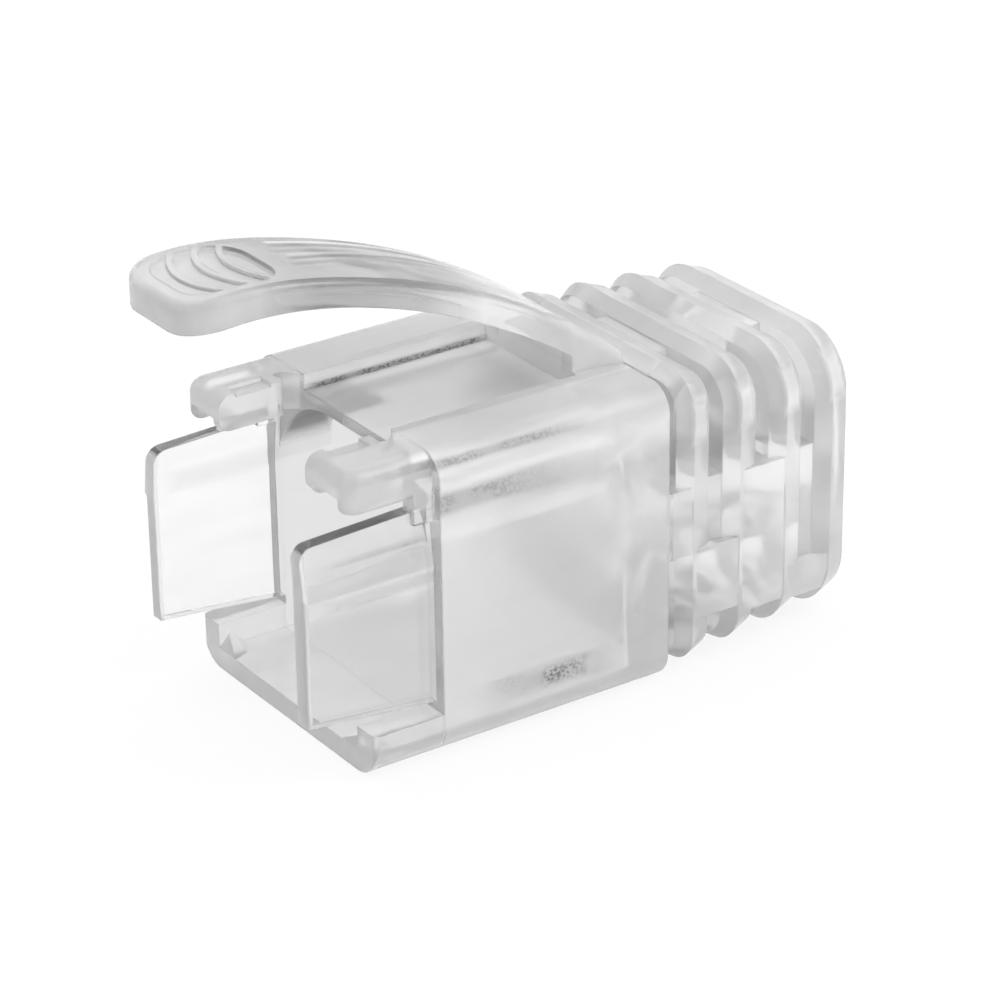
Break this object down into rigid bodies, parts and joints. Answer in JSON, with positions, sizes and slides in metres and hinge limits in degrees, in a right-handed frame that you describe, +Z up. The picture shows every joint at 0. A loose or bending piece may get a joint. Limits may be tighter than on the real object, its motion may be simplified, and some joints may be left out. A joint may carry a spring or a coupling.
{
  "type": "rj45 strain relief boot",
  "caption": "Clear moulded boot that slides over a modular plug, with side wings, a curled latch guard arm and a slotted flexible tail round the cable.",
  "frame": {"origin": "on the flat underside, midway across it, below the front face of the body", "axes": "+X towards the cable, along the cable bore; +Z up from the underside to the latch guard; +Y across"},
  "size_m": [0.032, 0.0144, 0.0223],
  "materials": {
    "clear_plastic": "clear, polished on the wings, lightly frosted on the body and arm"
  },
  "bodies": {
    "root": {"strain_relief_boot": "clear_plastic"}
  },
  "joints": []
}
